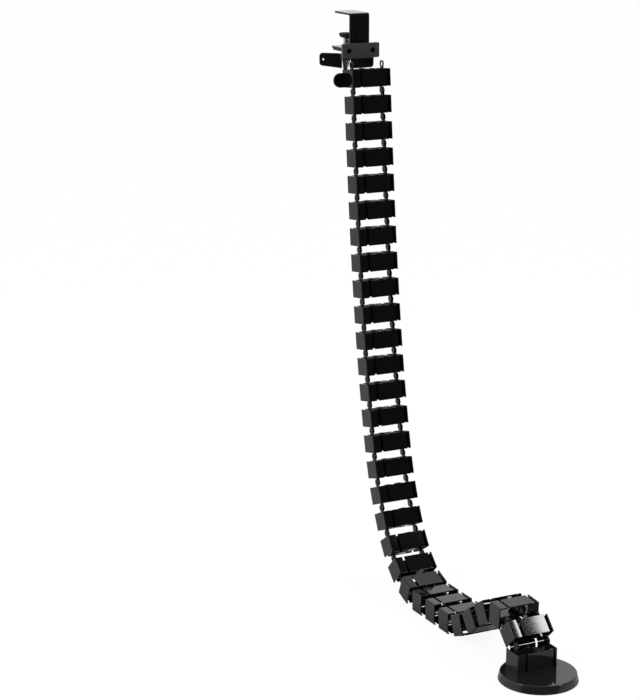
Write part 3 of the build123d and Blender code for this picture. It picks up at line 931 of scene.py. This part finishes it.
class SPINE_OT_foot(bpy.types.Operator):
    """Builds the round foot with its upright holder"""

    bl_idname = "spine.foot"
    bl_label = "Foot"

    def execute(self, context):
        look = context.scene.spine_foot
        plastic = gloss_plastic("foot plastic", look.plastic, look.roughness)
        edge = context.scene.spine_links.edge
        place = Matrix.Translation(hinge_axes()[-1] * MILLIMETRE)
        bm = bmesh.new()
        add_hollow(bm, FOOT_HOLDER_HEIGHT, edge)
        add_eyes(bm, edge)
        holder = as_mesh(bm, "holder")
        as_piece(holder, "upright_holder", plastic, "foot", ["base_holder"], place)
        bm = bmesh.new()
        closed_turned(bm, self.cover_profile(), shift(0, -DISC_FORWARD, DISC_UNDERSIDE), 120)
        cover = as_mesh(bm, "cover")
        as_piece(cover, "round_cover", plastic, "foot", ["base_disc"], place)
        steel = metal("weight steel", grey(0.2), 0.45)
        dress("base_weight", steel)
        dress("base_screws", steel)
        dress("foot_pad", soft_rubber("foot rubber", grey(0.02)))
        return {"FINISHED"}

    def cover_profile(self):
        """Half the cover's section: a round top edge, a slanted side and a hollow for the weight."""
        points = [(DISC_CENTRE, DISC_HEIGHT)]
        for point in arc((DISC_TOP_RADIUS - DISC_EDGE, DISC_HEIGHT - DISC_EDGE), DISC_EDGE, 90, 13, 8):
            points.append((point.x, point.y))
        inner, ceiling = DISC_RADIUS - DISC_WALL, DISC_HEIGHT - DISC_TOP_WALL
        points += [(DISC_RADIUS, DISC_LOWER_EDGE), (DISC_RADIUS - DISC_LOWER_EDGE, 0)]
        return points + [(inner, 0), (inner, ceiling), (DISC_CENTRE, ceiling)]


class SPINE_OT_stage(bpy.types.Operator):
    """Sets up the floor, the lamps and the camera"""

    bl_idname = "spine.stage"
    bl_label = "Stage"

    def execute(self, context):
        look = context.scene.spine_stage
        self.add_floor(look)
        self.light_world(look)
        self.add_lamp(
            "front lamp", FRONT_LAMP_PLACE, FRONT_LAMP_TARGET, FRONT_LAMP_UPRIGHT, FRONT_LAMP_SIZE,
            look.key_power)
        self.add_lamp(
            "side lamp", SIDE_LAMP_PLACE, SIDE_LAMP_TARGET, SIDE_LAMP_UPRIGHT, SIDE_LAMP_SIZE,
            look.side_power)
        self.add_camera(look)
        context.scene.view_settings.view_transform = "Standard"
        return {"FINISHED"}

    def add_floor(self, look):
        """A pale floor that keeps the shadow and fades into the white background."""
        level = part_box("foot_pad")[0].z
        bm = bmesh.new()
        bm.faces.new([bm.verts.new((x, y, level)) for x, y in FLOOR_CORNERS])
        mesh = bpy.data.meshes.new("floor")
        bm.to_mesh(mesh)
        bm.free()
        floor = bpy.data.objects.new("floor", mesh)
        bpy.context.scene.collection.objects.link(floor)
        finish = new_finish("pale floor")
        seen = finish.node("ShaderNodeLightPath", {}, {}, "Is Camera Ray")
        lit = finish.node("ShaderNodeBsdfDiffuse", {}, {"Color": (*look.floor, 1)})
        bright = finish.node("ShaderNodeEmission", {}, {"Color": (1, 1, 1, 1), "Strength": FLOOR_GLOW})
        mixed = finish.node("ShaderNodeMixShader", {}, {0: seen * FLOOR_GLOW_SHARE, 1: lit, 2: bright})
        finish.node("ShaderNodeOutputMaterial", {}, {"Surface": mixed})
        mesh.materials.append(finish.owner)

    def light_world(self, look):
        """White to the camera, pale behind and dark in front to reflections, and plain ambient light."""
        world = bpy.data.worlds.new("studio")
        bpy.context.scene.world = world
        finish = Finish(world)
        camera = finish.node("ShaderNodeLightPath", {}, {}, "Is Camera Ray")
        glossy = finish.node("ShaderNodeLightPath", {}, {}, "Is Glossy Ray")
        through = finish.node("ShaderNodeLightPath", {}, {}, "Is Transmission Ray")
        direction = finish.node("ShaderNodeTexCoord", {}, {}, "Generated")
        behind = finish.node("ShaderNodeSeparateXYZ", {}, {"Vector": direction}, "Y")
        spread = finish.node("ShaderNodeMapRange", {}, {
            "Value": behind, "From Min": -HORIZON_SOFTNESS, "From Max": HORIZON_SOFTNESS,
            "To Min": FRONT_LEVEL, "To Max": BACK_LEVEL})
        mirrored = glossy + through
        level = camera + mirrored * spread + (1 - camera - mirrored) * look.ambient
        shine = finish.node("ShaderNodeBackground", {}, {"Color": (1, 1, 1, 1), "Strength": level})
        finish.node("ShaderNodeOutputWorld", {}, {"Surface": shine})

    def add_lamp(self, name, place, target, upright, size, power):
        """A rectangular soft lamp that points at a target, with its height along a given line."""
        data = bpy.data.lights.new(name, "AREA")
        data.shape = "RECTANGLE"
        data.size, data.size_y = size
        data.energy = power
        back = (Vector(place) - Vector(target)).normalized()
        across = Vector(upright).cross(back).normalized()
        up = back.cross(across)
        lamp = bpy.data.objects.new(name, data)
        lamp.matrix_world = Matrix.Translation(place) @ Matrix((across, up, back)).transposed().to_4x4()
        bpy.context.scene.collection.objects.link(lamp)

    def add_camera(self, look):
        """The camera at the photograph's viewpoint."""
        data = bpy.data.cameras.new("camera")
        data.sensor_width = 36
        data.lens = look.lens
        data.clip_end = 100
        camera = bpy.data.objects.new("camera", data)
        camera.location = CAMERA_PLACE
        camera.rotation_euler = (radians(CAMERA_TILT), 0, radians(CAMERA_TURN))
        bpy.context.scene.collection.objects.link(camera)
        bpy.context.scene.camera = camera


class SPINE_PT_panel(bpy.types.Panel):
    """Lists the steps that build the cable spine"""

    bl_label = "Cable spine"
    bl_idname = "SPINE_PT_panel"
    bl_space_type = "VIEW_3D"
    bl_region_type = "UI"
    bl_category = "Cable spine"

    def draw(self, context):
        for operator in OPERATORS:
            self.layout.operator(operator.bl_idname)
        for group in SETTINGS:
            settings = getattr(context.scene, group)
            for name in settings.__annotations__:
                self.layout.prop(settings, name)


SETTINGS = {
    "spine_links": LinkLook,
    "spine_clamp": ClampLook,
    "spine_foot": FootLook,
    "spine_stage": StageLook,
}
OPERATORS = (
    SPINE_OT_links, SPINE_OT_frame, SPINE_OT_block, SPINE_OT_screw, SPINE_OT_strap, SPINE_OT_foot,
    SPINE_OT_stage)


def register():
    """Registers the settings, operators and panel."""
    for name, group in SETTINGS.items():
        bpy.utils.register_class(group)
        setattr(bpy.types.Scene, name, bpy.props.PointerProperty(type=group))
    for item in (*OPERATORS, SPINE_PT_panel):
        bpy.utils.register_class(item)


def unregister():
    """Takes them out again."""
    for item in (SPINE_PT_panel, *reversed(OPERATORS)):
        bpy.utils.unregister_class(item)
    for name, group in SETTINGS.items():
        delattr(bpy.types.Scene, name)
        bpy.utils.unregister_class(group)


def main():
    """Builds every piece."""
    register()
    for operator in OPERATORS:
        group, name = operator.bl_idname.split(".")
        getattr(getattr(bpy.ops, group), name)()


if __name__ == "__main__":
    main()
